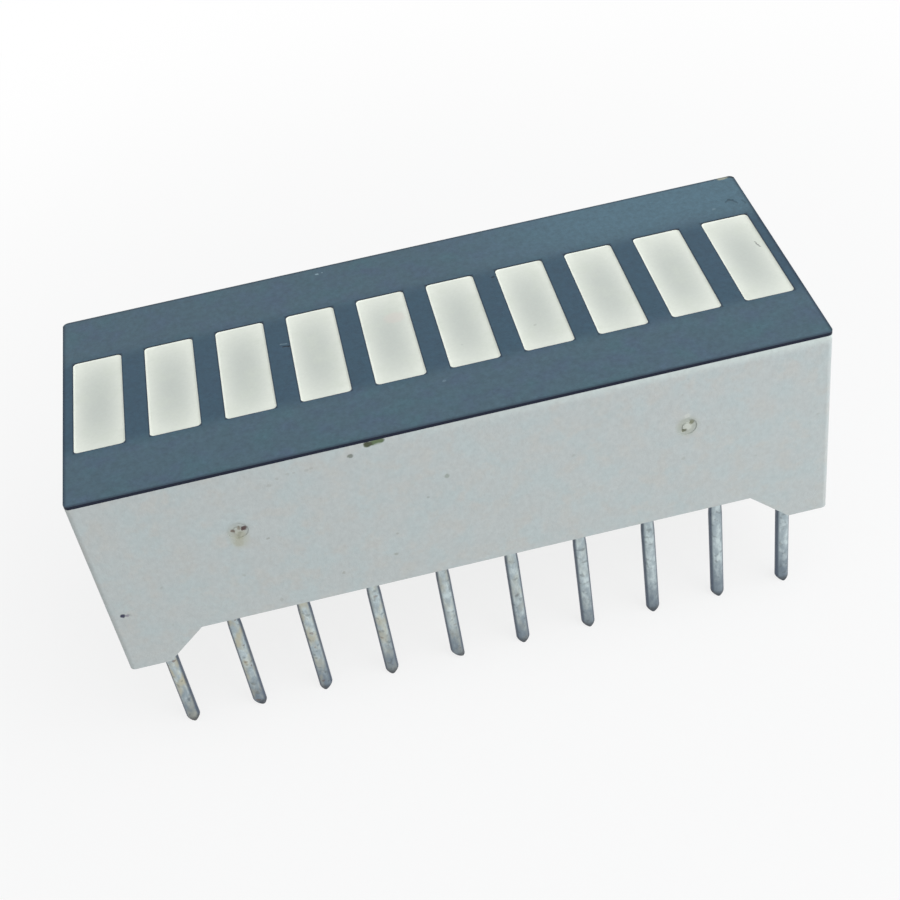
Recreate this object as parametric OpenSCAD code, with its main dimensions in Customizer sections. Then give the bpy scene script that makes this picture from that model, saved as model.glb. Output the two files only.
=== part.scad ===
// Ten-segment LED bar graph in a dual in-line package, built on a circuit board.
// Frame: origin at the centre of the pin pattern on the seating plane, which is
// the underside of the feet. +X runs along the row of segments, +Z points out of
// the face, and the pins point down.

/* [Package] */
// Number of light segments
segment_count = 10; // [4:1:10]
// Distance from segment to segment, and from pin to pin
pitch = 2.54; // [2.5:0.01:4]
// How much shorter the body is than its segments' pitch, so that packages stack end to end
stack_gap = 0.1; // [0.05:0.01:0.15]
// Distance between the two rows of pins
row_spacing = 7.62; // [6.35:0.01:12]
// Distance from a row of pins to the outside of the long wall beside it
row_margin = 1.24; // [1.2:0.01:2]
// Height from the seating plane to the face
body_h = 7.9; // [6.5:0.1:12]
// Radius of the body's upright corners
corner_r = 0.2; // [0.1:0.05:0.3]

/* [Housing walls and feet] */
// Thickness of the long walls beside the board
side_wall = 0.6; // [0.5:0.05:0.7]
// Thickness of the end walls beside the board
end_wall = 0.5; // [0.4:0.05:0.55]
// Radius of the board pocket's upright corners
pocket_r = 0.15; // [0.1:0.05:0.3]
// Height of the feet below the raised middle of the long walls
foot_h = 1.3; // [0.8:0.1:2]
// Length of each foot along the bottom, from the body's end
foot_l = 1.45; // [1.2:0.05:2.5]
// Length of the ramp from a foot up to the raised middle
ramp_l = 1.4; // [0.5:0.1:2]

/* [Windows and light wells] */
// Width of a segment's window, along the row
window_w = 1.72; // [1.2:0.02:2.1]
// Length of a segment's window, across the row
window_l = 4.95; // [3.5:0.05:6]
// Radius of the window's corners
window_r = 0.15; // [0.1:0.01:0.3]
// How far the resin in a well lies below the face, from shrinking as it sets
fill_recess = 0.05; // [0:0.01:0.1]
// Width of a light well at the board
well_base_w = 1.1; // [0.8:0.05:1.5]
// Length of a light well at the board
well_base_l = 3.2; // [2.6:0.05:3.6]

/* [Core pockets over the pins] */
// Width of a core pocket across the row
core_w = 1.2; // [1.1:0.05:1.3]
// Length of a core pocket along the row
core_l = 1.9; // [1.3:0.05:2.0]
// Depth of a core pocket above the board
core_depth = 2.6; // [0.9:0.1:2.7]

/* [Gates] */
// Distance of the two gate marks from the middle of the front wall, in pitches
gate_pitches = 3; // [1:1:4]
// Height of the gate marks above the seating plane
gate_z = 5.3; // [4:0.1:6]
// Diameter of the recess round a gate
gate_d = 0.7; // [0.5:0.05:1]
// Diameter of the broken gate stub in the recess
gate_stub_d = 0.3; // [0.2:0.05:0.4]
// Depth of the recess
gate_depth = 0.03; // [0.02:0.01:0.1]

/* [Face coat] */
// Thickness of the dark coat on the face
coat_t = 0.12; // [0.05:0.01:0.2]

/* [Circuit board] */
// Thickness of the board
board_t = 1.0; // [0.6:0.1:1.6]
// Clearance between the board's edge and the housing
board_gap = 0.1; // [0.05:0.01:0.2]
// Thickness of the copper
copper_t = 0.035; // [0.018:0.001:0.07]
// Radial clearance between a pin and its hole
hole_gap = 0.05; // [0.03:0.01:0.1]
// Width of a copper track
track_w = 0.4; // [0.2:0.05:0.6]
// Width of the ring of copper round a hole
ring_w = 0.27; // [0.2:0.01:0.3]
// Side of the square pad under a chip
die_pad = 0.6; // [0.4:0.05:0.8]
// Length of the pad that takes the bond wire, across the row
bond_pad_l = 0.5; // [0.3:0.05:0.6]

/* [Chips and bond wires] */
// Side of a light-emitting chip
chip_w = 0.3; // [0.2:0.01:0.4]
// Height of a chip
chip_h = 0.2; // [0.1:0.01:0.25]
// Distance from the chip's centre to the bond wire's foot
wire_span = 0.9; // [0.8:0.05:1.1]
// Diameter of a bond wire
wire_d = 0.03; // [0.02:0.005:0.06]

/* [Pins] */
// Diameter of a pin where it passes through the board and the resin
shank_d = 0.46; // [0.4:0.01:0.6]
// Diameter of a pin below the seating plane, with its thicker coat of tin
pin_d = 0.5; // [0.46:0.01:0.65]
// Length of a pin below the seating plane
pin_l = 4.5; // [2.5:0.1:6]
// Height of a pin's end above the copper
pin_head = 0.45; // [0.4:0.05:0.7]
// Length of the cone where the thicker tin begins
tin_taper = 0.5; // [0.2:0.1:0.8]
// Height at which the thicker tin is complete, below the seating plane
tin_start = 0.3; // [0.1:0.1:0.4]
// Height of the cut tip
tip_h = 0.16; // [0.1:0.02:0.5]
// Width of the flat at the very end
tip_flat = 0.06; // [0.05:0.01:0.2]

/* [Solder] */
// Radius of a solder joint on the copper
solder_r = 0.48; // [0.4:0.01:0.55]
// Height of a solder joint
solder_h = 0.34; // [0.2:0.02:0.4]
// Thickness of the solder at the top of a joint
solder_lip = 0.05; // [0.02:0.01:0.1]

/* [Resin under the board] */
// Thickness of the resin under the board
resin_t = 0.6; // [0.3:0.1:1]
// How far the resin lies above the raised edge of the long walls
resin_recess = 0.5; // [0.2:0.1:0.8]
// Width of the ring of resin that creeps down each pin
creep_w = 0.22; // [0.1:0.02:0.3]
// Height of that ring
creep_h = 0.16; // [0.05:0.01:0.3]
// Thickness of that ring at its lower edge
creep_lip = 0.02; // [0.01:0.01:0.05]

/* [Hidden] */
$fn = 48;
// how far a cutting shape runs past the surface that it cuts
over = 1;
// where the point of each pin's cut lies, from -1 at its left side to 1 at its right side
tip_lean = [0.2, 0.6, -0.3, -0.1, 0.9, -0.1, 0.1, -0.2, 0, 0.1];

body_l = segment_count * pitch - stack_gap;
body_w = row_spacing + 2 * row_margin;
housing_top = body_h - coat_t;
pocket_l = body_l - 2 * end_wall;
pocket_w = body_w - 2 * side_wall;
resin_z = foot_h + resin_recess;
board_z = resin_z + resin_t;
copper_z = board_z + board_t;
seat_z = copper_z + copper_t;
shank_r = shank_d / 2;
hole_r = shank_r + hole_gap;
wire_r = wire_span / 2;

first_segment = -(segment_count - 1) / 2 * pitch;
segment_x = [for (i = [0 : segment_count - 1]) first_segment + i * pitch];
pin_count = 2 * segment_count;
// pins are numbered round the package, as seen from above: the front row from
// left to right, then the back row from right to left
function pin_x(n) = n <= segment_count ? segment_x[n - 1] : segment_x[pin_count - n];
function pin_y(n) = (n <= segment_count ? -1 : 1) * row_spacing / 2;

function numbered(name, count) = [for (i = [1 : count]) str(name, "_", i)];

// Rectangle about the origin with round corners
module round_rect(l, w, r) {
    square([l - 2 * r, w], center = true);
    square([l, w - 2 * r], center = true);
    for (x = [-1, 1], y = [-1, 1])
        translate([x * (l / 2 - r), y * (w / 2 - r)]) circle(r);
}

// Side view of the housing, with a foot at each end and the raised middle between
module side_profile() {
    foot_x = body_l / 2 - foot_l;
    ramp_x = foot_x - ramp_l;
    polygon([
        [-body_l / 2, 0], [-foot_x, 0], [-ramp_x, foot_h],
        [ramp_x, foot_h], [foot_x, 0], [body_l / 2, 0],
        [body_l / 2, housing_top], [-body_l / 2, housing_top]
    ]);
}

// Wedge of a light well, from its width at the board to its width at the face
module well_wedge(base, window, depth) {
    flare = (window - base) / 2 / (body_h - seat_z);
    below = base / 2 - flare * over;
    above = window / 2 + flare * over;
    rotate([90, 0, 0]) linear_extrude(height = depth, center = true)
        polygon([
            [-below, seat_z - over], [below, seat_z - over],
            [above, body_h + over], [-above, body_h + over]
        ]);
}

// Space of one light well: it flares both ways from the board up to the window,
// and the window's upright corners are round
module light_well(x, low, high) {
    translate([x, 0, 0]) intersection() {
        well_wedge(well_base_w, window_w, window_l);
        rotate(90) well_wedge(well_base_l, window_l, window_l);
        translate([0, 0, low]) linear_extrude(height = high - low)
            round_rect(window_w, window_l, window_r);
    }
}

// Blind pocket over a pin, which clears its end and keeps the wall even
module core_pocket(n) {
    translate([pin_x(n), pin_y(n), seat_z - over])
        linear_extrude(height = core_depth + over) {
            square([core_l - core_w, core_w], center = true);
            for (side = [-1, 1])
                translate([side * (core_l - core_w) / 2, 0]) circle(core_w / 2);
        }
}

// Round recess with a broken stub in it, where the plastic entered the mould
module gate_mark(x) {
    translate([x, -body_w / 2 + gate_depth, gate_z]) rotate([90, 0, 0])
        difference() {
            cylinder(d = gate_d, h = gate_depth + over);
            translate([0, 0, -over]) cylinder(d = gate_stub_d, h = gate_depth + 2 * over);
        }
}

// White moulded reflector: outer walls, feet, board pocket, wells and core pockets
module housing() {
    color("gainsboro") difference() {
        intersection() {
            linear_extrude(height = housing_top) round_rect(body_l, body_w, corner_r);
            rotate([90, 0, 0]) linear_extrude(height = body_w + over, center = true)
                side_profile();
        }
        translate([0, 0, -over]) linear_extrude(height = seat_z + over)
            round_rect(pocket_l, pocket_w, pocket_r);
        for (x = segment_x) light_well(x, seat_z - over, body_h + over);
        for (n = [1 : pin_count]) core_pocket(n);
        for (side = [-1, 1]) gate_mark(side * gate_pitches * pitch);
    }
}

// Dark coat on the face, open at each window
module face_coat() {
    color("slategray") translate([0, 0, housing_top]) difference() {
        linear_extrude(height = coat_t) round_rect(body_l, body_w, corner_r);
        for (x = segment_x)
            translate([x, 0, -over]) linear_extrude(height = coat_t + 2 * over)
                round_rect(window_w, window_l, window_r);
    }
}

// Milky resin that fills one light well round its chip and bond wire
module segment(i) {
    color("whitesmoke") difference() {
        light_well(segment_x[i - 1], seat_z, body_h - fill_recess);
        chip_block(i);
        wire_arc(i);
    }
}

// Space of one chip on its pad
module chip_block(i) {
    translate([segment_x[i - 1] - chip_w / 2, -chip_w / 2, seat_z])
        cube([chip_w, chip_w, chip_h]);
}

// Space of one bond wire: half a ring from inside the chip to the bond pad
module wire_arc(i) {
    translate([segment_x[i - 1], wire_r, seat_z]) intersection() {
        rotate([0, 90, 0]) rotate_extrude() translate([wire_r, 0]) circle(wire_d / 2);
        translate([-over, -2 * wire_r, 0]) cube([2 * over, 4 * wire_r, 2 * wire_r]);
    }
}

module led_chip(i) {
    color("khaki") chip_block(i);
}

// Gold wire from the top of the chip to the bond pad
module bond_wire(i) {
    color("gold") difference() {
        wire_arc(i);
        chip_block(i);
    }
}

// Board that carries the chips and holds the pins
module circuit_board() {
    color("darkkhaki") translate([0, 0, board_z]) difference() {
        linear_extrude(height = board_t)
            square([pocket_l - 2 * board_gap, pocket_w - 2 * board_gap], center = true);
        for (n = [1 : pin_count])
            translate([pin_x(n), pin_y(n), -over]) cylinder(r = hole_r, h = board_t + 2 * over);
    }
}

// Copper from one pin to the pad of its length beside the chip
module copper_track(n, pad_y, pad_l) {
    translate([pin_x(n), 0]) difference() {
        union() {
            translate([-die_pad / 2, pad_y - pad_l / 2]) square([die_pad, pad_l]);
            translate([-track_w / 2, min(pad_y, pin_y(n))])
                square([track_w, abs(pin_y(n) - pad_y)]);
            translate([0, pin_y(n)]) circle(hole_r + ring_w);
        }
        translate([0, pin_y(n)]) circle(hole_r);
    }
}

// Chip pads with their tracks to the front pins, bond pads with theirs to the back pins
module copper_tracks() {
    color("darkorange") translate([0, 0, copper_z]) linear_extrude(height = copper_t)
        for (n = [1 : pin_count])
            if (n <= segment_count) copper_track(n, 0, die_pad);
            else copper_track(n, wire_span, bond_pad_l);
}

// Pinch-cut end of a pin as seen from the front, up to the pin's top
module pin_outline(lean) {
    half = pin_d / 2 + over;
    slope = tip_h / (pin_d / 2 - tip_flat / 2);
    end = lean * (pin_d / 2 - tip_flat / 2);
    left = end - tip_flat / 2;
    right = end + tip_flat / 2;
    polygon([
        [left, -pin_l], [right, -pin_l], [half, -pin_l + slope * (half - right)],
        [half, seat_z + pin_head], [-half, seat_z + pin_head],
        [-half, -pin_l + slope * (half + left)]
    ]);
}

// Round tinned wire with the space that it takes up in the resin
module pin_wire() {
    translate([0, 0, -pin_l]) cylinder(d = pin_d, h = pin_l - tin_start);
    translate([0, 0, -tin_start]) cylinder(d1 = pin_d, d2 = shank_d, h = tin_taper);
    translate([0, 0, tin_taper - tin_start])
        cylinder(d = shank_d, h = seat_z + pin_head - tin_taper + tin_start);
}

// Pin from its cut tip to its end above the board
module pin(n) {
    lean = tip_lean[(n <= segment_count ? n : pin_count + 1 - n) - 1];
    color("silver") translate([pin_x(n), pin_y(n), 0]) intersection() {
        pin_wire();
        rotate([90, 0, 0]) linear_extrude(height = pin_d + over, center = true)
            pin_outline(lean);
    }
}

// Cone of solder round each pin on the copper
module solder_joints() {
    color("lightgray") for (n = [1 : pin_count])
        translate([pin_x(n), pin_y(n), seat_z]) difference() {
            cylinder(h = solder_h, r1 = solder_r, r2 = shank_r + solder_lip);
            translate([0, 0, -over]) cylinder(h = solder_h + 2 * over, r = shank_r);
        }
}

// Resin under the board, which grips the pins and creeps a little way down them
module backfill_resin() {
    color("ivory") difference() {
        union() {
            translate([0, 0, resin_z]) linear_extrude(height = resin_t)
                round_rect(pocket_l, pocket_w, pocket_r);
            for (n = [1 : pin_count])
                translate([pin_x(n), pin_y(n), resin_z - creep_h])
                    cylinder(h = creep_h, r1 = shank_r + creep_lip, r2 = shank_r + creep_w);
        }
        for (n = [1 : pin_count])
            translate([pin_x(n), pin_y(n), resin_z - over])
                cylinder(h = resin_t + 2 * over, r = shank_r);
    }
}

housing();
face_coat();
for (i = [1 : segment_count]) segment(i);
circuit_board();
copper_tracks();
for (i = [1 : segment_count]) led_chip(i);
for (i = [1 : segment_count]) bond_wire(i);
for (n = [1 : pin_count]) pin(n);
solder_joints();
backfill_resin();
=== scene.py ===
"""Surfaces, resin rims and stage for a ten-segment LED bar graph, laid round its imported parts."""

from collections import namedtuple
from math import cos, pi, radians, sin

import bmesh
import bpy
from bpy.props import FloatProperty, FloatVectorProperty, PointerProperty
from bpy.types import Operator, Panel, PropertyGroup
from mathutils import Matrix, Vector


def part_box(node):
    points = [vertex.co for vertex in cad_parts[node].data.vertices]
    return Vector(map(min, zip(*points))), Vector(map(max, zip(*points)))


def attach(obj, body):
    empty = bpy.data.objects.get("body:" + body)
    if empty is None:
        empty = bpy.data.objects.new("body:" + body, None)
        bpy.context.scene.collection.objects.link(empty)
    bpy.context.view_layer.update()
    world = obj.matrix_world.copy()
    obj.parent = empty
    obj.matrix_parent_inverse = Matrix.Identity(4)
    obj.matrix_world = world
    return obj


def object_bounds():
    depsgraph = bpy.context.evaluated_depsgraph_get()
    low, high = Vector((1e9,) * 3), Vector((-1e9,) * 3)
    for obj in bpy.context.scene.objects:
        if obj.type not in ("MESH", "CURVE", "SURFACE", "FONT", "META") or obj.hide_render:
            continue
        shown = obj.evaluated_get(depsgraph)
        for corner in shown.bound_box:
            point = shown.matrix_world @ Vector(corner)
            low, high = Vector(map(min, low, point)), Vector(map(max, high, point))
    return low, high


bl_info = {
    "name": "LED Bar Graph",
    "version": (1, 0, 0),
    "blender": (4, 5, 0),
    "location": "View3D > Sidebar > Bar Graph",
    "description": "Surfaces, resin rims and stage for a ten-segment LED bar graph",
    "category": "Object",
}

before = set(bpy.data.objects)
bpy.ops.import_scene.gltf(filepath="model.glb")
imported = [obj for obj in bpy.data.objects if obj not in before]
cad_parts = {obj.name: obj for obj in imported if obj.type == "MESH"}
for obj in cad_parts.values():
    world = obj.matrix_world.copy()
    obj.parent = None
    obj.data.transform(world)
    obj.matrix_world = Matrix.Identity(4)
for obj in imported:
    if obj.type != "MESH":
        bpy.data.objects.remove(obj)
cad_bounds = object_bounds()

# Sizes below are in millimetres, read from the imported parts; the scene itself is in metres
MM = 0.001


def corners(node):
    """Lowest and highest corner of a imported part, in millimetres"""
    low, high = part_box(node)
    return low / MM, high / MM


COAT_LOW, COAT_HIGH = corners("face_coat")
FIRST_LOW, FIRST_HIGH = corners("segment_1")
PITCH = corners("segment_2")[0].x - FIRST_LOW.x
WINDOW_W = FIRST_HIGH.x - FIRST_LOW.x
WINDOW_L = FIRST_HIGH.y - FIRST_LOW.y
WINDOW_R = 0.15
FRONT = corners("housing")[0].y
FACE = COAT_HIGH.z
PIN_TIP = corners("pin_1")[0].z
CHIP_TOP = corners("led_chip_1")[1].z
MARK_REACH = 0.3  # how far a mark reaches into and out of its surface


def tone(red, green, blue):
    """Linear colour of a display colour given from 0 to 255"""
    parts = (part / 255 for part in (red, green, blue))
    return tuple(p / 12.92 if p <= 0.04045 else ((p + 0.055) / 1.055) ** 2.4 for p in parts)


class Spot(namedtuple("Spot", "at size colour cover cut")):
    """A small stain or pit: its middle, how far it reaches each way, its colour, how strongly
    it covers and how deep it is cut"""

    def mask(self, finish, place, lay):
        return finish.spot(place, lay(self.at), lay(self.size, MARK_REACH))


class Scratch(namedtuple("Scratch", "at to width colour cover cut")):
    """A fine line from one point to another: its half width, its colour, how strongly it
    covers and how deep it is cut"""

    def mask(self, finish, place, lay):
        return finish.streak(place, lay(self.at), lay(self.to), self.width)


WALL_MARKS = (
    # left gate: yellowed smear, burnt red end of the broken stub, brown pit
    Spot((-7.62, 5.30), (0.36, 0.36), tone(172, 177, 172), 0.60, 0.0),
    Spot((-7.66, 4.98), (0.32, 0.46), tone(174, 176, 160), 0.50, 0.0),
    Scratch((-7.60, 5.12), (-7.71, 4.76), 0.150, tone(162, 162, 142), 0.50, 0.1),
    Scratch((-7.58, 5.22), (-7.66, 4.98), 0.050, tone(140, 142, 126), 0.55, 0.2),
    Spot((-7.42, 5.33), (0.100, 0.095), tone(66, 36, 36), 0.95, 0.5),
    Spot((-7.79, 5.32), (0.07, 0.06), tone(112, 98, 88), 0.85, 0.5),
    Spot((-7.58, 5.40), (0.06, 0.07), tone(120, 112, 98), 0.75, 0.3),
    # right gate: pale ring, two olive pits and a pale fleck above
    Spot((7.64, 5.32), (0.37, 0.39), tone(168, 174, 162), 0.70, 0.0),
    Spot((7.66, 5.30), (0.14, 0.17), tone(196, 201, 192), 0.85, 0.0),
    Spot((7.79, 5.44), (0.08, 0.10), tone(118, 122, 98), 0.90, 0.8),
    Spot((7.52, 5.16), (0.08, 0.08), tone(96, 100, 76), 0.90, 0.8),
    Spot((7.66, 5.78), (0.11, 0.09), tone(200, 204, 199), 0.70, 0.0),
    # nick under the edge of the face, dark at its left end
    Scratch((-2.90, 7.68), (-2.42, 7.72), 0.100, tone(75, 97, 55), 0.95, 0.7),
    Spot((-2.86, 7.68), (0.13, 0.10), tone(54, 60, 35), 0.95, 0.9),
    # stains and specks
    Spot((-3.48, 7.36), (0.10, 0.08), tone(100, 108, 98), 0.80, 0.3),
    Spot((-12.19, 2.68), (0.085, 0.085), tone(36, 38, 66), 1.00, 0.2),
    Spot((-12.03, 2.66), (0.08, 0.05), tone(112, 106, 128), 0.70, 0.0),
    Spot((-0.54, 5.58), (0.08, 0.09), tone(138, 148, 138), 0.65, 0.1),
    Spot((-1.28, 4.83), (0.06, 0.05), tone(138, 146, 142), 0.60, 0.1),
    Spot((-2.72, 2.60), (0.07, 0.06), tone(142, 148, 140), 0.60, 0.1),
    Spot((-4.61, 2.29), (0.06, 0.06), tone(144, 146, 136), 0.50, 0.1),
    Spot((-6.76, 4.66), (0.06, 0.05), tone(138, 140, 134), 0.55, 0.1),
    Spot((-2.54, 3.54), (0.05, 0.05), tone(142, 146, 140), 0.50, 0.1),
    Spot((-6.25, 6.91), (0.07, 0.06), tone(150, 154, 148), 0.35, 0.0),
    Spot((-5.94, 7.12), (0.06, 0.06), tone(150, 154, 148), 0.35, 0.0),
    Spot((-5.56, 7.20), (0.07, 0.05), tone(150, 154, 148), 0.35, 0.0),
    Spot((-5.36, 7.21), (0.05, 0.05), tone(150, 154, 148), 0.35, 0.0),
    Spot((-4.95, 7.20), (0.06, 0.06), tone(150, 154, 148), 0.35, 0.0),
    Spot((-4.78, 7.23), (0.07, 0.05), tone(150, 154, 148), 0.35, 0.0),
)

FACE_MARKS = (
    # curled scratch beside the last segment
    Scratch((11.84, 3.42), (11.98, 3.56), 0.040, tone(50, 74, 88), 0.70, 0.4),
    Scratch((11.98, 3.56), (12.10, 3.44), 0.050, tone(48, 72, 84), 0.85, 0.5),
    Scratch((12.10, 3.44), (12.22, 3.22), 0.040, tone(50, 74, 88), 0.65, 0.4),
    Scratch((12.43, 3.34), (12.48, 3.12), 0.040, tone(52, 76, 88), 0.60, 0.3),
    Spot((11.30, 3.16), (0.07, 0.06), tone(112, 134, 146), 0.55, 0.0),
    # dark nick with a pale lip at the fourth segment's left edge
    Scratch((-4.92, 0.74), (-4.72, 0.70), 0.035, tone(22, 34, 46), 0.90, 0.6),
    Scratch((-5.04, 0.92), (-4.80, 0.88), 0.030, tone(112, 136, 148), 0.65, 0.0),
    # specks
    Spot((-3.26, 4.64), (0.07, 0.05), tone(142, 166, 178), 0.85, 0.0),
    Spot((-3.06, 4.66), (0.03, 0.03), tone(142, 166, 178), 0.70, 0.0),
    Spot((2.81, 2.05), (0.07, 0.06), tone(34, 50, 62), 0.85, 0.4),
    Spot((0.06, -3.05), (0.06, 0.05), tone(112, 134, 148), 0.50, 0.0),
    # coat chipped to the plastic at the back edge
    Scratch((12.12, 5.01), (12.38, 5.01), 0.090, tone(176, 180, 162), 0.95, 0.0),
    Scratch((12.48, 5.02), (12.60, 4.92), 0.070, tone(38, 50, 54), 0.85, 0.0),
)

SEGMENT_MARKS = (
    Scratch((12.00, 0.74), (12.08, 0.40), 0.022, tone(132, 138, 134), 0.75, 0.2),
    Scratch((12.02, 0.62), (12.05, 0.52), 0.030, tone(112, 118, 116), 0.80, 0.3),
    Spot((-0.95, 1.05), (0.36, 0.30), tone(214, 205, 198), 0.40, 0.0),
    Spot((3.60, -1.13), (0.05, 0.05), tone(172, 178, 172), 0.60, 0.1),
    Spot((1.02, -1.30), (0.04, 0.04), tone(178, 184, 180), 0.50, 0.1),
)


class Value:
    """One output of a node. An expression on it adds the Math nodes that work it out."""

    def __init__(self, tree, node, socket):
        self.tree = tree
        self.node = node
        self.socket = socket

    def output(self, name):
        """Another output of the same node"""
        return Value(self.tree, self.node, self.node.outputs[name])

    def maths(self, operation, *values):
        return self.tree.add("ShaderNodeMath", {"operation": operation}, dict(enumerate(values)))

    def __add__(self, other):
        return self.maths("ADD", self, other)

    def __sub__(self, other):
        return self.maths("SUBTRACT", self, other)

    def __rsub__(self, other):
        return self.maths("SUBTRACT", other, self)

    def __mul__(self, other):
        return self.maths("MULTIPLY", self, other)

    def __mod__(self, other):
        return self.maths("FLOORED_MODULO", self, other)

    def __pow__(self, other):
        return self.maths("POWER", self, other)

    def __abs__(self):
        return self.maths("ABSOLUTE", self)

    __radd__ = __add__
    __rmul__ = __mul__


def larger(one, other):
    return one.maths("MAXIMUM", one, other)


def smaller(one, other):
    return one.maths("MINIMUM", one, other)


class Tree:
    """The nodes of a material or of the world, which all come from add()"""

    def __init__(self, owner):
        owner.use_nodes = True
        self.nodes = owner.node_tree.nodes
        self.links = owner.node_tree.links
        self.nodes.clear()

    def add(self, kind, settings=None, values=None):
        """Adds a node: its settings first, then the values or links of its sockets, each
        named or numbered among those in use"""
        node = self.nodes.new(kind)
        for name, setting in (settings or {}).items():
            setattr(node, name, setting)
        in_use = [socket for socket in node.inputs if socket.enabled]
        by_name = {socket.name: socket for socket in in_use}
        for key, value in (values or {}).items():
            self.feed(in_use[key] if isinstance(key, int) else by_name[key], value)
        shown = [socket for socket in node.outputs if socket.enabled]
        return Value(self, node, shown[0]) if shown else node

    def feed(self, socket, value):
        """Links a socket to a node's output, or sets it to a number, colour or vector"""
        if isinstance(value, Value):
            self.links.new(value.socket, socket)
        elif socket.type == "RGBA":
            socket.default_value = (*value[:3], 1)
        else:
            socket.default_value = value

    def vector(self, operation, *values):
        """Vector Math on vectors or colours"""
        return self.add("ShaderNodeVectorMath", {"operation": operation}, dict(enumerate(values)))

    def fade(self, value, start, end):
        """0 where value is at start, 1 where it is at end, and smooth between"""
        return self.add(
            "ShaderNodeMapRange",
            {"interpolation_type": "SMOOTHSTEP"},
            {"Value": value, "From Min": start, "From Max": end},
        )

    def blend(self, colour, other, share):
        """Colour with a share of the other colour in it"""
        return self.add(
            "ShaderNodeMix", {"data_type": "RGBA"}, {"Factor": share, "A": colour, "B": other}
        )

    def noise(self, place, scale, detail=2.0, roughness=0.5, away=None):
        """Soft noise with that many lumps to a millimetre. Away moves it to where it has
        nothing to do with the finish's other noise."""
        if away:
            place = self.vector("ADD", place, away)
        values = {"Vector": place, "Scale": scale, "Detail": detail, "Roughness": roughness}
        return self.add("ShaderNodeTexNoise", {}, values)

    def ruffle(self, place, scale, amount):
        """Place moved about by noise, so that the edges of marks are uneven"""
        push = self.vector("SUBTRACT", self.noise(place, scale).output("Color"), (0.5,) * 3)
        return self.vector("MULTIPLY_ADD", push, (amount,) * 3, place)

    def spot(self, place, middle, reach, soft=0.35):
        """1 in an ellipsoid of that reach about middle, fading to 0 outside it"""
        away = self.vector("DIVIDE", self.vector("SUBTRACT", place, middle), reach)
        return self.fade(self.vector("LENGTH", away), 1 + soft, 1 - soft)

    def streak(self, place, start, end, width, soft=0.45):
        """1 within that width of the line from start to end, fading to 0 outside it"""
        line = end - start
        away = self.vector("SUBTRACT", place, start)
        run = self.vector("DOT_PRODUCT", away, line / line.length_squared)
        nearest = self.scaled(line, smaller(larger(run, 0.0), 1.0))
        gap = self.vector("LENGTH", self.vector("SUBTRACT", away, nearest))
        return self.fade(gap, width * (1 + soft), width * (1 - soft))

    def scaled(self, vector, factor):
        """Vector or colour times a number"""
        return self.add(
            "ShaderNodeVectorMath", {"operation": "SCALE"}, {0: vector, "Scale": factor}
        )


class Finish(Tree):
    """A material in the making"""

    def __init__(self, name):
        self.material = bpy.data.materials.new(name)
        super().__init__(self.material)

    def place(self):
        """Where the shaded point is, in millimetres in the frame of the part"""
        return self.scaled(self.add("ShaderNodeTexCoord").output("Object"), 1 / MM)

    def split(self, vector, axes):
        """The parts of a vector along those axes"""
        parts = self.add("ShaderNodeSeparateXYZ", {}, {"Vector": vector})
        return [parts.output(axis) for axis in axes]

    def facing(self, axes):
        """Which way the surface faces along those axes, in the frame of the part"""
        return self.split(self.add("ShaderNodeNewGeometry").output("Normal"), axes)

    def stain(self, colour, place, marks, lay):
        """Colour with the marks on it, and how deep they are cut"""
        cuts = 0.0
        ruffled = self.ruffle(place, 9.0, 0.10)
        for mark in marks:
            cover = mark.mask(self, ruffled, lay) * mark.cover
            colour = self.blend(colour, mark.colour, cover)
            if mark.cut:
                cuts = cover * mark.cut + cuts
        return colour, cuts

    def done(self, varying, fixed, height=None, depth=0.0):
        """Adds the shader. Depth is how far the height of 1 stands out, in millimetres."""
        if height is not None:
            bump = {"Height": height, "Distance": depth * MM}
            varying = dict(varying, Normal=self.add("ShaderNodeBump", {}, bump))
        shader = self.add("ShaderNodeBsdfPrincipled", {}, {**fixed, **varying})
        self.add("ShaderNodeOutputMaterial", {}, {"Surface": shader})
        return self.material


def on_wall(pair, across=FRONT):
    """A pair of lengths on the front wall, as a vector"""
    return Vector((pair[0], across, pair[1]))


def on_coat(pair, across=FACE):
    """A pair of lengths on the coat, as a vector"""
    return Vector((pair[0], pair[1], across))


def on_segment(pair, across=FIRST_HIGH.z):
    """A pair of lengths on top of a segment, as a vector"""
    return Vector((pair[0], pair[1], across))


def from_window(x, y):
    """How far a point lies outside the window's sides and ends, negative inside"""
    across = abs(x % PITCH - PITCH / 2) - WINDOW_W / 2
    along = abs(y) - WINDOW_L / 2
    return across, along


def housing_plastic(look):
    """White moulded plastic, faintly cloudy, with painted light making it paler just under the
    coat, more so to the right, and with gate scars and stains on the front wall"""
    finish = Finish("housing_plastic")
    place = finish.place()
    x, z = finish.split(place, "XZ")
    cloud = finish.noise(place, 0.8, 3.0, 0.55)
    drift = finish.noise(place, 1.3, 3.0, 0.6, away=(40, 9, 17))
    grain = finish.noise(place, 6.0, 3.0, 0.65)
    colour = finish.blend(look.plastic, look.cool, finish.fade(cloud, 0.40, 0.66))
    colour = finish.blend(colour, look.warm, finish.fade(drift, 0.46, 0.70))
    # Painted light: the top of the wall just under the coat is made paler, more so towards the
    # right
    painted_light_under_coat = finish.fade(z, COAT_LOW.z - 0.40, COAT_LOW.z - 0.05)
    colour = finish.blend(colour, look.painted_light_under_coat, painted_light_under_coat * finish.fade(x, -8.0, 12.0))
    colour = finish.scaled(colour, grain * 0.28 + 0.86)
    colour, cuts = finish.stain(colour, place, WALL_MARKS, on_wall)
    specks = finish.noise(place, 3.2, 0.0, away=(3, 60, 5))
    colour = finish.blend(colour, look.dust, finish.fade(specks, 0.80, 0.87) * 0.5)
    height = finish.noise(place, 16.0, 2.0) * 0.5 + grain - cuts * 3.0
    varying = {"Base Color": colour, "Roughness": grain * 0.15 + look.roughness}
    return finish.done(varying, {"IOR": 1.54}, height, 0.008)


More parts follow.
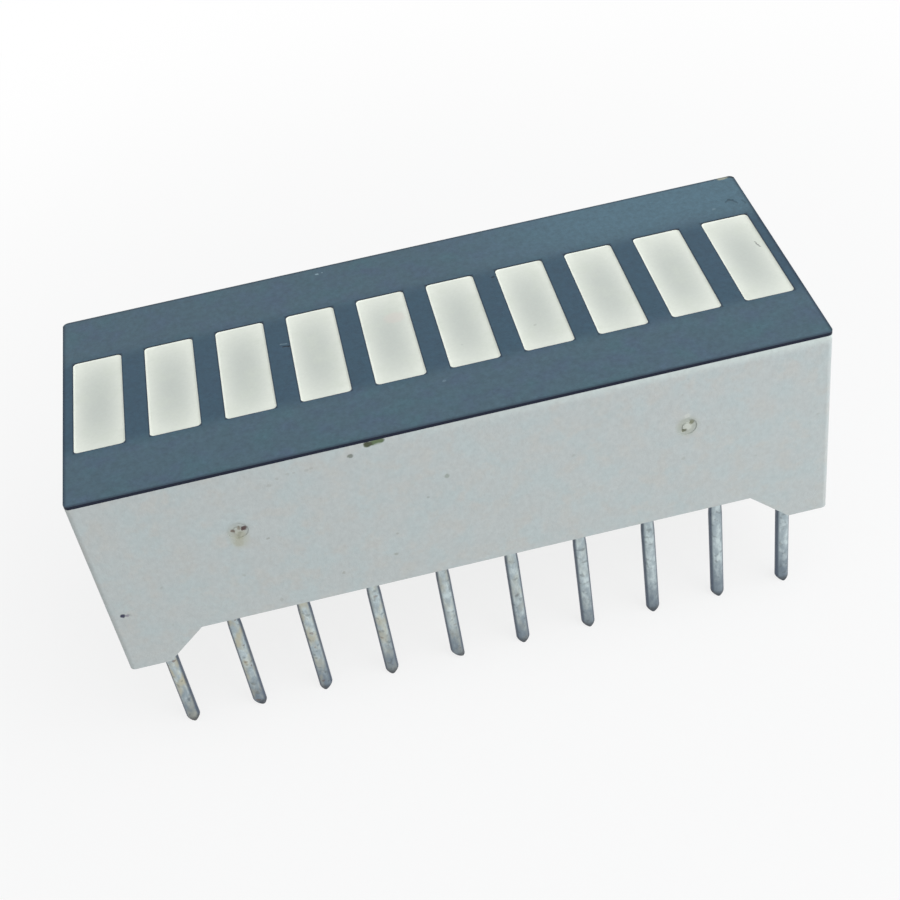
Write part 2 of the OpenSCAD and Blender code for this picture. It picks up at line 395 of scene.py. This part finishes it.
def printed_coat(look):
    """Matt blue-grey coat, darker between the windows, with a painted sheen making it paler towards
    the back right corner, and painted shade making it nearly black on its upright edges and darker
    at its borders"""
    finish = Finish("face_coat")
    place = finish.place()
    x, y = finish.split(place, "XY")
    cloud = finish.noise(place, 0.9, 4.0, 0.6)
    drift = finish.noise(place, 0.7, 4.0, 0.6, away=(12, 30, 8))
    grain = finish.noise(place, 6.0, 3.0, 0.7)
    colour = finish.blend(look.coat, look.violet, finish.fade(cloud, 0.42, 0.68))
    colour = finish.blend(colour, look.teal, finish.fade(drift, 0.46, 0.70) * 0.8)
    # Painted sheen: the coat is made paler towards the back right corner
    painted_sheen = finish.fade(x, 0.0, 8.0) * finish.fade(y, 1.5, 3.8)
    colour = finish.blend(colour, look.painted_sheen, painted_sheen)
    across, along = from_window(x, y)
    between = finish.fade(along, 0.45, -0.45)
    colour = finish.blend(colour, look.between, between * 0.85)
    colour = finish.scaled(colour, grain * 0.80 + 0.60)
    colour, cuts = finish.stain(colour, place, FACE_MARKS, on_coat)
    # Painted shade: darker at the windows' edges and the coat's outer border, and the edge colour
    # on the upright sides
    inner = finish.fade(larger(across, along), 0.07, 0.0)
    painted_border_shade = finish.fade(larger(abs(x) - COAT_HIGH.x, abs(y) - COAT_HIGH.y), -0.14, -0.01)
    up, = finish.facing("Z")
    level = finish.fade(abs(up), 0.25, 0.75)
    colour = finish.blend(look.edge, colour, level * (1 - larger(inner, painted_border_shade) * 0.6))
    height = grain + finish.noise(place, 20.0, 2.0) * 0.5 - cuts * 3.0
    varying = {"Base Color": colour, "Roughness": grain * 0.2 + look.roughness}
    return finish.done(varying, {"IOR": 1.45, "Specular IOR Level": 0.3}, height, 0.006)


def milky_resin(look):
    """Milky resin with painted shade, greyer over the deep well, and painted light, paler by the
    white walls
    """
    finish = Finish("diffuser")
    place = finish.place()
    x, y = finish.split(place, "XY")
    # Painted shade in the middle of each window and painted light by its sides and ends, for light
    # scattered in the resin
    across = abs(x % PITCH - PITCH / 2) * (2 / WINDOW_W)
    along = abs(y + 0.08) * (2 / WINDOW_L)
    from_sides = 1 - across ** 2.2 * 0.66
    from_ends = 1 - along ** 2.4 * 0.58
    colour = finish.blend(look.middle, look.rim, 1 - from_sides * from_ends)
    cloud = finish.noise(place, 1.1, 3.0, 0.55)
    colour = finish.blend(colour, look.tint, finish.fade(cloud, 0.45, 0.75) * 0.4)
    grain = finish.noise(place, 9.0, 2.0, 0.6)
    colour = finish.scaled(colour, grain * 0.10 + 0.93)
    colour, cuts = finish.stain(colour, place, SEGMENT_MARKS, on_segment)
    height = cloud - cuts * 2.0
    varying = {"Base Color": colour, "Roughness": grain * 0.1 + look.roughness}
    return finish.done(varying, {"IOR": 1.5}, height, 0.004)


def tinned_wire(look):
    """Dull tin over steel wire with a painted dark reflection making its sides blue-grey, spotted,
    yellowed at the row's left end, darker towards the cut"""
    finish = Finish("tinned_wire")
    place = finish.place()
    x, z = finish.split(place, "XZ")
    right, up = finish.facing("XZ")
    stretched = finish.vector("MULTIPLY", place, (1, 1, 0.5))
    streak = finish.noise(stretched, 4.5, 3.0, 0.65)
    colour = finish.blend(look.tin, look.pale_tin, finish.fade(streak, 0.36, 0.70))
    lower = finish.fade(z + streak * 1.2, PIN_TIP + 3.2, PIN_TIP + 0.7)
    colour = finish.blend(colour, look.low_tin, lower * 0.9)
    warm = finish.noise(stretched, 3.0, 2.0, away=(33, 7, 2))
    worn_end = finish.fade(x, 9.0, -12.0)
    share = finish.fade(warm, 0.38, 0.68) * (0.9 - lower * 0.5) * worn_end
    colour = finish.blend(colour, look.warm_tin, share)
    spots = finish.noise(place, 4.5, 1.0, away=(5, 2, 70))
    colour = finish.blend(colour, look.tarnish, finish.fade(spots, 0.58, 0.72) * 0.4)
    rust = finish.noise(place, 4.5, 0.0, away=(90, 4, 7))
    colour = finish.blend(colour, look.rust, finish.fade(rust, 0.72, 0.78) * worn_end * 0.6)
    # Painted dark reflection: each pin's sides are made blue-grey and less metallic
    side = finish.fade(abs(right) + streak * 0.2, 0.66, 1.00)
    colour = finish.blend(colour, look.painted_side_shade, side * 0.9)
    cut = larger(
        finish.fade(up, -0.12, -0.35),
        finish.fade(z + streak * 0.20, PIN_TIP + 0.44, PIN_TIP + 0.18) * 0.8,
    )
    colour = finish.blend(colour, look.cut, cut * 0.9)
    lumps = finish.noise(stretched, 3.0, 3.0, 0.6)
    varying = {
        "Base Color": colour,
        "Roughness": streak * 0.25 + look.roughness,
        "Metallic": 0.7 - side * 0.3 - cut * 0.3,
    }
    return finish.done(varying, {}, lumps + spots * 0.3, 0.03)


def cast_backfill(look):
    """Milky resin poured under the board, smooth and a little uneven"""
    finish = Finish("backfill")
    place = finish.place()
    cloud = finish.noise(place, 0.5, 4.0, 0.55)
    bubbles = finish.noise(place, 4.0, 1.0)
    colour = finish.blend(look.backfill, look.backfill_deep, finish.fade(cloud, 0.40, 0.70))
    pores = finish.fade(bubbles, 0.74, 0.80)
    colour = finish.blend(colour, look.pore, pores * 0.6)
    varying = {"Base Color": colour, "Roughness": cloud * 0.2 + 0.15}
    return finish.done(varying, {"IOR": 1.5}, cloud - pores * 0.4, 0.05)


def glass_cloth(look):
    """Board of glass cloth: two crossed threads under a thin skin of resin"""
    finish = Finish("board")
    place = finish.place()
    threads = [
        finish.fade(abs(run * 2.5 % 1 - 0.5), 0.1, 0.45) for run in finish.split(place, "XY")
    ]
    weave = threads[0] * 0.5 + threads[1] * 0.5
    colour = finish.blend(look.board, look.board_thread, weave * 0.6)
    colour = finish.scaled(colour, finish.noise(place, 3.0, 3.0) * 0.1 + 0.95)
    return finish.done({"Base Color": colour, "Roughness": weave * 0.2 + 0.35}, {}, weave, 0.01)


def plain_metal(name, bright, dull, roughness):
    """Metal that is dulled in patches"""
    finish = Finish(name)
    place = finish.place()
    patch = finish.fade(finish.noise(place, 2.5, 4.0, 0.6), 0.35, 0.70)
    colour = finish.blend(bright, dull, patch)
    rough = finish.noise(place, 12.0, 2.0)
    varying = {"Base Color": colour, "Roughness": patch * 0.15 + roughness}
    return finish.done(varying, {"Metallic": 1.0}, rough, 0.006)


def sawn_chip(look):
    """Chip with a lighter junction layer on top and saw lines on its sides"""
    finish = Finish("chip")
    place = finish.place()
    z, = finish.split(place, "Z")
    layer = finish.fade(z, CHIP_TOP - 0.05, CHIP_TOP - 0.02)
    lines = finish.noise(finish.vector("MULTIPLY", place, (1, 1, 40)), 3.0, 2.0)
    colour = finish.blend(look.chip, look.junction, layer)
    colour = finish.scaled(colour, lines * 0.2 + 0.9)
    return finish.done({"Base Color": colour, "Roughness": lines * 0.2 + 0.3}, {}, lines, 0.004)


def colour_of(name, about, *display):
    """A colour property with its default given from 0 to 255"""
    return FloatVectorProperty(
        name=name, description=about, subtype="COLOR", size=3, min=0, max=1, default=tone(*display)
    )


class HousingLook(PropertyGroup):
    plastic: colour_of("Plastic", "Colour of the moulded plastic", 182, 189, 189)
    cool: colour_of("Cool patches", "Bluish tint of cloudy patches", 179, 190, 191)
    warm: colour_of("Warm patches", "Pinkish tint of cloudy patches", 184, 188, 186)
    # Painted light along the top of the wall, just under the coat
    painted_light_under_coat: colour_of("Rubbed edge", "Plastic just under the coat", 198, 209, 207)
    dust: colour_of("Dust", "Colour of scattered specks", 158, 164, 160)
    roughness: FloatProperty(
        name="Roughness", description="Roughness of the plastic", default=0.42,
        min=0.1, max=0.9, subtype="FACTOR",
    )


class CoatLook(PropertyGroup):
    coat: colour_of("Coat", "Main colour of the printed coat", 72, 95, 108)
    violet: colour_of("Violet patches", "Bluish tint of the coat's patches", 73, 93, 111)
    teal: colour_of("Teal patches", "Greenish tint of the coat's patches", 70, 99, 110)
    # Painted sheen of the coat towards the back
    painted_sheen: colour_of("Washed", "Coat where it is washed paler, at the back", 80, 108, 123)
    between: colour_of("Between windows", "Coat between the windows", 52, 77, 95)
    # Painted shade on the coat's upright edges and along its borders
    edge: colour_of("Edge", "Colour of the coat's cut edges", 2, 14, 38)
    roughness: FloatProperty(
        name="Roughness", description="Roughness of the coat", default=0.45,
        min=0.1, max=0.9, subtype="FACTOR",
    )


class SegmentLook(PropertyGroup):
    # Painted shade over the well's middle and painted light by its walls, in the next two colours
    middle: colour_of("Middle", "Resin over the deepest part of a well", 196, 203, 197)
    rim: colour_of("Rim", "Resin by the well's white walls", 248, 253, 242)
    tint: colour_of("Tint", "Greenish tint of cloudy patches", 208, 216, 204)
    roughness: FloatProperty(
        name="Roughness", description="Roughness of the resin", default=0.38,
        min=0.05, max=0.9, subtype="FACTOR",
    )
    rim_width: FloatProperty(
        name="Rim width", description="How far the resin creeps in from the window's edge",
        default=0.00008, min=0.00002, max=0.0003, unit="LENGTH", precision=5,
    )


class PinLook(PropertyGroup):
    tin: colour_of("Tin", "Main colour of the tinned wire", 163, 177, 183)
    pale_tin: colour_of("Pale tin", "Colour of the pale streaks", 202, 215, 217)
    warm_tin: colour_of("Warm tin", "Colour of the yellowed patches", 186, 182, 160)
    low_tin: colour_of("Lower tin", "Colour near the tip", 108, 121, 133)
    # Painted dark reflection on the pins' sides
    painted_side_shade: colour_of("Sides", "Colour of the dulled sides", 58, 74, 96)
    tarnish: colour_of("Tarnish", "Colour of the dark spots", 84, 90, 92)
    rust: colour_of("Rust", "Colour of the brown spots", 112, 84, 72)
    cut: colour_of("Cut", "Colour of the cut tip", 56, 58, 62)
    roughness: FloatProperty(
        name="Roughness", description="Roughness of the tin", default=0.34,
        min=0.1, max=0.9, subtype="FACTOR",
    )


class InnerLook(PropertyGroup):
    backfill: colour_of("Backfill", "Resin under the board", 214, 216, 204)
    backfill_deep: colour_of("Deep backfill", "Resin where it looks deeper", 196, 200, 186)
    pore: colour_of("Pore", "Small bubble in the resin", 168, 168, 152)
    board: colour_of("Board", "Resin of the circuit board", 172, 166, 118)
    board_thread: colour_of("Thread", "Glass thread of the circuit board", 196, 192, 152)
    chip: colour_of("Chip", "Sides of a chip", 168, 150, 86)
    junction: colour_of("Junction", "Top layer of a chip", 204, 190, 120)


class StageLook(PropertyGroup):
    azimuth: FloatProperty(
        name="Azimuth", description="Direction of the camera round the part",
        default=radians(-4.143), subtype="ANGLE",
    )
    elevation: FloatProperty(
        name="Elevation", description="Height of the camera above the horizon",
        default=radians(41.391), subtype="ANGLE",
    )
    roll: FloatProperty(
        name="Roll", description="Turn of the camera about its own axis",
        default=radians(-10.237), subtype="ANGLE",
    )
    distance: FloatProperty(
        name="Distance", description="Distance from the camera to the point it aims at",
        default=0.0567, min=0.02, unit="LENGTH", precision=4,
    )
    aim: FloatProperty(
        name="Aim", description="How far above the part's middle the camera aims",
        default=0.00038, unit="LENGTH", precision=5,
    )
    lens: FloatProperty(
        name="Lens", description="Focal length in millimetres", default=61.23,
        min=10, max=200, unit="CAMERA",
    )
    floor: colour_of("Floor", "Colour of the floor", 224, 225, 226)
    ambient: FloatProperty(
        name="Ambient", description="Strength of the light from all round", default=0.42, min=0
    )
    key: FloatProperty(
        name="Key light", description="Power of the soft lamp in front and above, in watts",
        default=0.61, min=0, unit="POWER",
    )
    side: FloatProperty(
        name="Side light", description="Power of the soft lamp at the right, in watts",
        default=0.175, min=0, unit="POWER",
    )


LOOKS = {
    "bar_graph_housing": HousingLook,
    "bar_graph_coat": CoatLook,
    "bar_graph_segments": SegmentLook,
    "bar_graph_pins": PinLook,
    "bar_graph_inner": InnerLook,
    "bar_graph_stage": StageLook,
}


def dress(nodes, material):
    """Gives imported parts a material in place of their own"""
    for name in nodes:
        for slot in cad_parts[name].material_slots:
            slot.material = material


def numbered(prefix):
    """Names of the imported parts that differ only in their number"""
    return [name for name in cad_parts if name.startswith(prefix)]


def window_outline(corner_steps=5):
    """Points round a window about its middle, with the direction that points outwards"""
    outline = []
    for turn in range(4):
        side_x = 1 if turn in (0, 3) else -1
        side_y = 1 if turn in (0, 1) else -1
        middle = Vector((side_x * (WINDOW_W / 2 - WINDOW_R), side_y * (WINDOW_L / 2 - WINDOW_R), 0))
        for step in range(corner_steps + 1):
            angle = (turn + step / corner_steps) * pi / 2
            outward = Vector((cos(angle), sin(angle), 0))
            outline.append((middle + outward * WINDOW_R, outward))
    return outline


def resin_rim(segment, width, steps=5, sharp=radians(50)):
    """Ring of resin that creeps halfway up the window's edge in a hollow curve"""
    low, high = corners(segment)
    climb = (FACE - high.z) / 2
    middle = Vector(((low.x + high.x) / 2, (low.y + high.y) / 2, high.z))
    profile = [(width * step / steps, climb * (1 - step / steps) ** 2) for step in range(steps + 1)]
    profile.append((0.0, 0.0))
    mesh = bmesh.new()
    rings = []
    for point, outward in window_outline():
        rings.append([
            mesh.verts.new((middle + point - outward * inset + Vector((0, 0, lift))) * MM)
            for inset, lift in profile
        ])
    for ring, following in zip(rings, rings[1:] + rings[:1]):
        for step in range(len(profile)):
            after = (step + 1) % len(profile)
            mesh.faces.new((ring[step], ring[after], following[after], following[step]))
    bmesh.ops.recalc_face_normals(mesh, faces=mesh.faces)
    for face in mesh.faces:
        face.smooth = True
    for edge in mesh.edges:
        edge.smooth = edge.calc_face_angle() < sharp
    data = bpy.data.meshes.new(segment.replace("segment", "resin_rim"))
    mesh.to_mesh(data)
    mesh.free()
    return data


def show(name, data, material):
    """Puts a mesh in the scene with its material"""
    piece = bpy.data.objects.new(name, data)
    data.materials.append(material)
    bpy.context.scene.collection.objects.link(piece)
    return piece


class BARGRAPH_OT_housing(Operator):
    """Give the housing its moulded plastic"""

    bl_idname = "bar_graph.housing"
    bl_label = "Finish the Housing"

    def execute(self, context):
        dress(["housing"], housing_plastic(context.scene.bar_graph_housing))
        return {"FINISHED"}


class BARGRAPH_OT_coat(Operator):
    """Give the face its printed coat"""

    bl_idname = "bar_graph.coat"
    bl_label = "Finish the Face Coat"

    def execute(self, context):
        dress(["face_coat"], printed_coat(context.scene.bar_graph_coat))
        return {"FINISHED"}


class BARGRAPH_OT_segments(Operator):
    """Give the segments their milky resin, and add the rims where it creeps up the windows"""

    bl_idname = "bar_graph.segments"
    bl_label = "Finish the Segments"

    def execute(self, context):
        look = context.scene.bar_graph_segments
        resin = milky_resin(look)
        dress(numbered("segment_"), resin)
        for segment in numbered("segment_"):
            rim = show(
                segment.replace("segment", "resin_rim"),
                resin_rim(segment, look.rim_width / MM),
                resin,
            )
            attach(rim, "root")
        return {"FINISHED"}


class BARGRAPH_OT_pins(Operator):
    """Give the pins their tin and the joints their solder"""

    bl_idname = "bar_graph.pins"
    bl_label = "Finish the Pins"

    def execute(self, context):
        dress(numbered("pin_"), tinned_wire(context.scene.bar_graph_pins))
        solder = plain_metal("solder", tone(196, 198, 200), tone(150, 154, 158), 0.25)
        dress(["solder_joints"], solder)
        return {"FINISHED"}


class BARGRAPH_OT_inner(Operator):
    """Finish the board, its copper, the chips, their wires and the backfill"""

    bl_idname = "bar_graph.inner"
    bl_label = "Finish the Inner Parts"

    def execute(self, context):
        look = context.scene.bar_graph_inner
        dress(["circuit_board"], glass_cloth(look))
        dress(["backfill_resin"], cast_backfill(look))
        dress(numbered("led_chip_"), sawn_chip(look))
        copper = plain_metal("copper", tone(206, 134, 92), tone(158, 92, 60), 0.3)
        dress(["copper_tracks"], copper)
        gold = plain_metal("gold", tone(226, 184, 96), tone(206, 158, 74), 0.2)
        dress(numbered("bond_wire_"), gold)
        return {"FINISHED"}


def seen_directly(tree):
    """1 for rays from the camera, mirrors and glass, 0 for those that carry light"""
    path = tree.add("ShaderNodeLightPath")
    mirrored = path.output("Is Glossy Ray") + path.output("Is Transmission Ray")
    return smaller(path.output("Is Camera Ray") + mirrored, 1.0)


def pale_surroundings(look):
    """World that lights the part evenly and is white where it is seen"""
    world = bpy.data.worlds.new("pale_surroundings")
    tree = Tree(world)
    strength = seen_directly(tree) * (1 - look.ambient) + look.ambient
    light = tree.add("ShaderNodeBackground", {}, {"Color": (1, 1, 1), "Strength": strength})
    tree.add("ShaderNodeOutputWorld", {}, {"Surface": light})
    return world


SHADOW = 0.20  # share of the floor's own light and shade that shows near the part
SHADOW_FADE = (14.0, 60.0)  # from where to where it fades, away from the part's middle


def pale_floor(look):
    """Pale floor that looks white and still shows the part's soft shadow"""
    finish = Finish("pale_floor")
    place = finish.place()
    mottle = finish.noise(place, 0.02, 2.0)
    colour = finish.scaled(look.floor, mottle * 0.01 + 0.995)
    matt = finish.add("ShaderNodeBsdfDiffuse", {}, {"Color": colour})
    glow = finish.add("ShaderNodeEmission", {}, {"Color": (1, 1, 1), "Strength": 1.0})
    x, y = finish.split(place, "XY")
    away = (x * x + y * y) ** 0.5
    share = seen_directly(finish) * (finish.fade(away, *SHADOW_FADE) * SHADOW + (1 - SHADOW))
    surface = finish.add("ShaderNodeMixShader", {}, {0: share, 1: matt, 2: glow})
    finish.add("ShaderNodeOutputMaterial", {}, {"Surface": surface})
    return finish.material


def floor_disc(radius=1.5, sides=96):
    """Flat disc under the pins' tips"""
    mesh = bmesh.new()
    level = cad_bounds[0].z
    rim = [
        mesh.verts.new((radius * cos(2 * pi * k / sides), radius * sin(2 * pi * k / sides), level))
        for k in range(sides)
    ]
    mesh.faces.new(rim)
    data = bpy.data.meshes.new("floor")
    mesh.to_mesh(data)
    mesh.free()
    return data


# Each lamp with the side of its square and its place from the part's middle, in metres
LAMPS = {
    "key": (0.30, (0.05, -0.12, 0.36)),
    "side": (0.18, (0.11, -0.07, 0.05)),
}


def soft_lamp(name, power, size, place, target):
    """Square lamp that faces the target"""
    data = bpy.data.lights.new(name, "AREA")
    data.energy = power
    data.size = size
    lamp = bpy.data.objects.new(name, data)
    lamp.location = place
    lamp.rotation_euler = (Vector(target) - Vector(place)).to_track_quat("-Z", "Y").to_euler()
    bpy.context.scene.collection.objects.link(lamp)


def camera_turn(look):
    """Axes of the camera: right, up and back"""
    back = Vector((
        sin(look.azimuth) * cos(look.elevation),
        -cos(look.azimuth) * cos(look.elevation),
        sin(look.elevation),
    ))
    level = Vector((0, 0, 1)).cross(back).normalized()
    upright = back.cross(level)
    right = level * cos(look.roll) + upright * sin(look.roll)
    up = upright * cos(look.roll) - level * sin(look.roll)
    return right, up, back


class BARGRAPH_OT_stage(Operator):
    """Set up the pale floor, the soft lamps, the surroundings and the camera"""

    bl_idname = "bar_graph.stage"
    bl_label = "Set the Stage"

    def execute(self, context):
        look = context.scene.bar_graph_stage
        scene = context.scene
        scene.world = pale_surroundings(look)
        scene.view_settings.view_transform = "Standard"
        floor = show("floor", floor_disc(), pale_floor(look))
        middle = (cad_bounds[0] + cad_bounds[1]) / 2
        for lamp, (size, place) in LAMPS.items():
            soft_lamp(lamp + "_lamp", getattr(look, lamp), size, middle + Vector(place), middle)
        right, up, back = camera_turn(look)
        data = bpy.data.cameras.new("camera")
        data.lens = look.lens
        data.clip_start = 0.001
        camera = bpy.data.objects.new("camera", data)
        turn = Matrix((right, up, back)).transposed().to_4x4()
        place = middle + up * look.aim + back * look.distance
        camera.matrix_world = Matrix.Translation(place) @ turn
        scene.collection.objects.link(camera)
        scene.camera = camera
        return {"FINISHED"}


OPERATORS = (
    BARGRAPH_OT_housing,
    BARGRAPH_OT_coat,
    BARGRAPH_OT_segments,
    BARGRAPH_OT_pins,
    BARGRAPH_OT_inner,
    BARGRAPH_OT_stage,
)


class BARGRAPH_PT_finish(Panel):
    bl_idname = "BARGRAPH_PT_finish"
    bl_label = "Bar Graph"
    bl_space_type = "VIEW_3D"
    bl_region_type = "UI"
    bl_category = "Bar Graph"

    def draw(self, context):
        for (name, look), operator in zip(LOOKS.items(), OPERATORS):
            box = self.layout.box()
            for setting in look.__annotations__:
                box.prop(getattr(context.scene, name), setting)
            box.operator(operator.bl_idname)


def register():
    for cls in (*LOOKS.values(), *OPERATORS, BARGRAPH_PT_finish):
        bpy.utils.register_class(cls)
    for name, look in LOOKS.items():
        setattr(bpy.types.Scene, name, PointerProperty(type=look))


def unregister():
    for name in LOOKS:
        delattr(bpy.types.Scene, name)
    for cls in reversed((*LOOKS.values(), *OPERATORS, BARGRAPH_PT_finish)):
        bpy.utils.unregister_class(cls)


def main():
    register()
    bpy.ops.bar_graph.housing()
    bpy.ops.bar_graph.coat()
    bpy.ops.bar_graph.segments()
    bpy.ops.bar_graph.pins()
    bpy.ops.bar_graph.inner()
    bpy.ops.bar_graph.stage()


if __name__ == "__main__":
    main()
